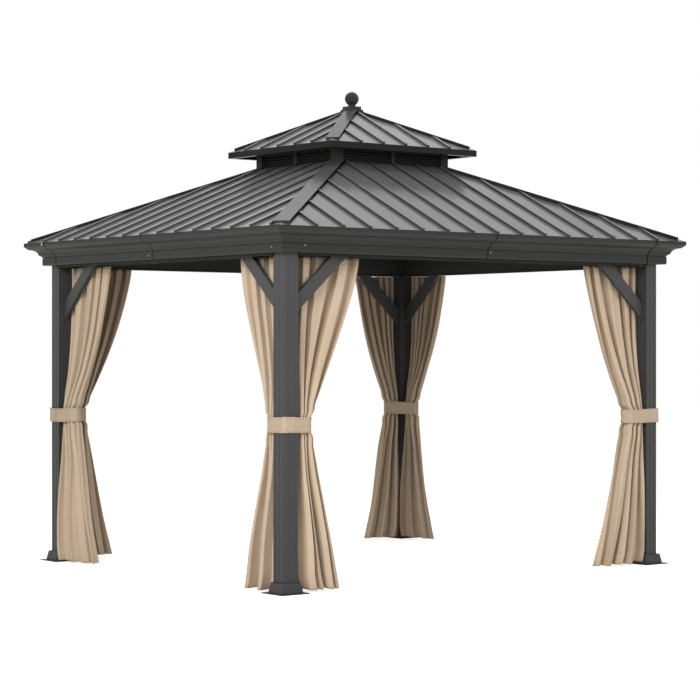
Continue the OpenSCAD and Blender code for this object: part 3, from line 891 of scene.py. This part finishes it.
# For each tier: the eave's half sizes and height, the top's half sizes, the rise, and the
# ribs' spacing and count
TIERS = {
    "main": ((1.6791, 1.4816), 2.1483, (0.473, 0.445), 0.492, MAIN_PITCH, 7),
    "upper": ((0.613, 0.577), 2.7623, (0.0, 0.0), 0.283, UPPER_PITCH, 2),
}
plugs = bmesh.new()
for eave, eave_height, top, rise, pitch, count in TIERS.values():
    for sign in (-1, 1):
        for across in (0, 1):
            run = eave[across] - top[across]
            slope = math.atan2(rise, run)
            down = Vector((0, 0, -math.sin(slope)))
            down[across] = sign * math.cos(slope)
            up = Vector((0, 0, math.cos(slope)))
            up[across] = sign * math.sin(slope)
            along = Vector((0, 0, 0))
            along[1 - across] = 1
            for i in range(-count, count + 1):
                foot = Vector((0, 0, eave_height))
                foot[across] = sign * eave[across]
                foot[1 - across] = i * pitch
                middle = foot + up * (SHEET_T + RIB_H / 2) + down * (PLUG_T / 2 - 0.3 * MM)
                sizes = (RIB_W + MM, PLUG_T, RIB_H + MM)
                add_block(plugs, middle, (along, down, up), sizes, 0.8 * MM)
add_piece("rib_end_plugs", plugs, plug_plastic)

# A zinc stop on the post ends each curtain track
STOP_Z = 1.989
stops = bmesh.new()
for sx, sy in CORNERS.values():
    for across in (0, 1):
        reach = [POST_AT[0], POST_AT[1]]
        reach[across] -= POST_HALF + 4 * MM
        middle = Vector((sx * reach[0], sy * reach[1], STOP_Z))
        axes = (Vector((1, 0, 0)), Vector((0, 1, 0)), Vector((0, 0, 1)))
        sizes = [12 * MM, 12 * MM, 14 * MM]
        sizes[across] = 7 * MM
        add_block(stops, middle, axes, sizes, 1.2 * MM)
add_piece("track_end_stops", stops, zinc_plate)

# The outline of a hip cap's lower end in the south-west quarter, clockwise from the south foot
CAP_ENDS = {
    "main": (
        (-1.5963, -1.4777, 2.1538),
        (-1.6018, -1.4824, 2.1772),
        (-1.6683, -1.4050, 2.1772),
        (-1.6638, -1.4012, 2.1582),
        (-1.6335, -1.4424, 2.1706),
    ),
    "upper": (
        (-0.5434, -0.5705, 2.7691),
        (-0.5484, -0.5752, 2.7896),
        (-0.6073, -0.5126, 2.7896),
        (-0.6027, -0.5083, 2.7707),
        (-0.5762, -0.5424, 2.7829),
    ),
}
closures = bmesh.new()
for outline in CAP_ENDS.values():
    for sx, sy in CORNERS.values():
        flip = Vector((-sx, -sy, 1))
        corners = [closures.verts.new(Vector(point) * flip) for point in outline]
        face = closures.faces.new(corners)
        face.normal_update()
        outwards = face.normal.copy()
        if outwards.x * sx + outwards.y * sy < 0:
            face.normal_flip()
            outwards = -outwards
        grown = bmesh.ops.extrude_face_region(closures, geom=[face])["geom"]
        moved = [part for part in grown if isinstance(part, bmesh.types.BMVert)]
        bmesh.ops.translate(closures, verts=moved, vec=outwards * 2.5 * MM)
bmesh.ops.recalc_face_normals(closures, faces=closures.faces)
add_piece("hip_cap_closures", closures, plug_plastic)

# The joints at the front corner are filled flush with slices of the beams' own profile
JOINT_WIDE = 10 * MM
HAIRLINE = 0.5 * MM
for beam, across, skin_end in (("beam_south", 0, -1.3991), ("beam_west", 1, -1.2016)):
    filler = bmesh.new()
    filler.from_mesh(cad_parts[beam].data)
    bmesh.ops.remove_doubles(filler, verts=filler.verts, dist=0.01 * MM)
    along = Vector((1 - across, across, 0))
    for cut, facing_out in ((0.0, -1), (JOINT_WIDE - 2 * HAIRLINE, 1)):
        everything = list(filler.verts) + list(filler.edges) + list(filler.faces)
        # The cut at the skin's end lies a hair inside it, so that no face lies in the cutting plane
        bmesh.ops.bisect_plane(
            filler,
            geom=everything,
            dist=0.001 * MM,
            plane_co=along * (skin_end + cut + 0.01 * MM),
            plane_no=along * facing_out,
            clear_outer=True,
        )
    # The sleeve inside the beam stays where it is
    outer = min(vertex.co[1 - across] for vertex in filler.verts)
    skin = {vertex for vertex in filler.verts if vertex.co[1 - across] < outer + MM}
    edge_on = list(skin)
    while edge_on:
        for line in edge_on.pop().link_edges:
            for vertex in line.verts:
                if vertex not in skin:
                    skin.add(vertex)
                    edge_on.append(vertex)
    rest = [vertex for vertex in filler.verts if vertex not in skin]
    bmesh.ops.delete(filler, geom=rest, context="VERTS")
    bmesh.ops.holes_fill(filler, edges=filler.edges)
    bmesh.ops.recalc_face_normals(filler, faces=filler.faces)
    bmesh.ops.translate(filler, verts=filler.verts, vec=along * (HAIRLINE - JOINT_WIDE))
    add_piece(f"{beam}_joint_filler", filler, crown_shaded_coat)

# A folded steel screen stands behind the louvres. The photograph doesn't show it: it is a guess
SCREEN_SIZE = (0.886, 0.830)
vent_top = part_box("vent_south")[1][2]
screen = bmesh.new()
walls = bmesh.ops.create_cube(screen, size=1)["verts"]
screen_low = TIERS["main"][1] + TIERS["main"][3] + 8 * MM
screen_high = vent_top - 14 * MM
bmesh.ops.scale(screen, vec=(*SCREEN_SIZE, screen_high - screen_low), verts=walls)
bmesh.ops.translate(screen, vec=(0, 0, (screen_high + screen_low) / 2), verts=walls)
ends = [face for face in screen.faces if abs(face.normal.z) > 0.9]
bmesh.ops.delete(screen, geom=ends, context="FACES_ONLY")
upright = [line for line in screen.edges if abs(line.verts[0].co.z - line.verts[1].co.z) > 10 * MM]
bmesh.ops.bevel(
    screen, geom=upright, affect="EDGES", offset=6 * MM, segments=4, profile=0.5, material=-1
)
bmesh.ops.solidify(screen, geom=list(screen.faces), thickness=1.5 * MM)
bmesh.ops.recalc_face_normals(screen, faces=screen.faces)
add_piece("vent_screen", screen, vent_coat)

# A wire ring joins the cloth's top to its glider in the track above
RING_R = 6 * MM
RING_WIRE = 1.0 * MM
RING_Z = 1.977
rings = bmesh.new()
for place in hook_places:
    others = set(rings.verts)
    section = bmesh.ops.create_circle(rings, segments=6, radius=RING_WIRE)["verts"]
    quarter = Matrix.Rotation(math.pi / 2, 3, "X")
    bmesh.ops.rotate(rings, verts=section, cent=(0, 0, 0), matrix=quarter)
    bmesh.ops.translate(rings, verts=section, vec=(RING_R, 0, 0))
    wires = list({line for vertex in section for line in vertex.link_edges})
    bmesh.ops.spin(
        rings,
        geom=section + wires,
        cent=(0, 0, 0),
        axis=(0, 0, 1),
        angle=2 * math.pi,
        steps=14,
        use_merge=True,
        use_duplicate=False,
    )
    made = [vertex for vertex in rings.verts if vertex not in others]
    stand = Matrix.Rotation(math.pi / 2, 4, "X")
    centre = Vector((float(place[0]), float(place[1]), RING_Z))
    turn = Matrix.Rotation(math.pi / 4, 4, "Z")
    bmesh.ops.transform(rings, matrix=Matrix.Translation(centre) @ turn @ stand, verts=made)
bmesh.ops.remove_doubles(rings, verts=rings.verts, dist=0.01 * MM)
bmesh.ops.recalc_face_normals(rings, faces=rings.faces)
for face in rings.faces:
    face.smooth = True
add_piece("curtain_rings", rings, zinc_plate)


# Camera: level, at chest height, fitted to the photograph's perspective

IMAGE_SIDE = 700
FOCAL_PIXELS = 2203.0
HORIZON_PIXEL = 348.8
SENSOR = 36.0
CAMERA_AT = (-9.10, -11.75, 1.436)
CAMERA_TURN = math.radians(-37.71)

camera_data = bpy.data.cameras.new("camera")
camera_data.sensor_fit = "HORIZONTAL"
camera_data.sensor_width = SENSOR
camera_data.lens = SENSOR * FOCAL_PIXELS / IMAGE_SIDE
camera_data.shift_y = (HORIZON_PIXEL - IMAGE_SIDE / 2) / IMAGE_SIDE
camera_data.clip_end = 100
camera = bpy.data.objects.new("camera", camera_data)
camera.location = CAMERA_AT
camera.rotation_euler = (math.radians(90), 0, CAMERA_TURN)
bpy.context.scene.collection.objects.link(camera)
bpy.context.scene.camera = camera


# Floor, backdrop and lights


def seen_directly(tree):
    """A socket that is 1 for camera, glossy and transmission rays, and 0 for the rest."""
    path = add_node(tree, "ShaderNodeLightPath").outputs
    first = add_node(
        tree,
        "ShaderNodeMath",
        links={0: path["Is Camera Ray"], 1: path["Is Glossy Ray"]},
        operation="MAXIMUM",
    )
    both = add_node(
        tree,
        "ShaderNodeMath",
        links={0: first.outputs[0], 1: path["Is Transmission Ray"]},
        operation="MAXIMUM",
    )
    return both.outputs[0]


# A matt studio floor, lifted to white where it is seen directly, so that it still takes a shadow
FLOOR_SIDE = 60.0
FLOOR_LIFT = 0.72
floor_paint, tree = new_material("matt_studio_floor")
matt = add_node(
    tree,
    "ShaderNodeBsdfPrincipled",
    settings={"Base Color": srgb("#dcdad6"), "Roughness": 0.9, "Specular IOR Level": 0.0},
)
lift = add_node(
    tree,
    "ShaderNodeEmission",
    settings={"Color": srgb("#ffffff"), "Strength": FLOOR_LIFT},
)
lifted = add_node(tree, "ShaderNodeAddShader", links={0: matt.outputs[0], 1: lift.outputs[0]})
floor_mix = add_node(
    tree,
    "ShaderNodeMixShader",
    links={0: seen_directly(tree), 1: matt.outputs[0], 2: lifted.outputs[0]},
)
finish_material(tree, floor_mix)

floor_form = bmesh.new()
bmesh.ops.create_grid(floor_form, x_segments=1, y_segments=1, size=FLOOR_SIDE / 2)
bmesh.ops.translate(floor_form, verts=floor_form.verts, vec=(0, 0, -0.5 * MM))
floor_mesh = bpy.data.meshes.new("floor")
floor_form.to_mesh(floor_mesh)
floor_form.free()
floor_mesh.materials.append(floor_paint)
floor = bpy.data.objects.new("floor", floor_mesh)
bpy.context.scene.collection.objects.link(floor)

world = bpy.data.worlds.new("studio")
bpy.context.scene.world = world
world.use_nodes = True
tree = world.node_tree
tree.nodes.clear()
soft = add_node(tree, "ShaderNodeBackground", settings={"Color": srgb("#fff8ef"), "Strength": 0.47})
white = add_node(tree, "ShaderNodeBackground", settings={"Color": srgb("#ffffff"), "Strength": 1.0})
backdrop = add_node(
    tree,
    "ShaderNodeMixShader",
    links={0: seen_directly(tree), 1: soft.outputs[0], 2: white.outputs[0]},
)
add_node(tree, "ShaderNodeOutputWorld", links={"Surface": backdrop.outputs[0]})


def softbox(name, place, aim, side, watts):
    """A square area light at a place, turned towards a point."""
    lamp = bpy.data.lights.new(name, "AREA")
    lamp.shape = "SQUARE"
    lamp.size = side
    lamp.energy = watts
    box = bpy.data.objects.new(name, lamp)
    box.location = place
    box.rotation_euler = (Vector(aim) - Vector(place)).to_track_quat("-Z", "Y").to_euler()
    # The roof mirrors the plain white room, not the lamps
    box.visible_glossy = False
    bpy.context.scene.collection.objects.link(box)


softbox("key_light", (-8.0, -5.0, 5.2), (0, 0, 1.3), 4.5, 740)
softbox("front_light", (2.0, -9.5, 5.0), (0, 0, 1.2), 4.0, 320)
softbox("top_light", (0.5, -0.5, 8.0), (0, 0, 2.0), 5.0, 260)

bpy.context.scene.view_settings.view_transform = "Standard"
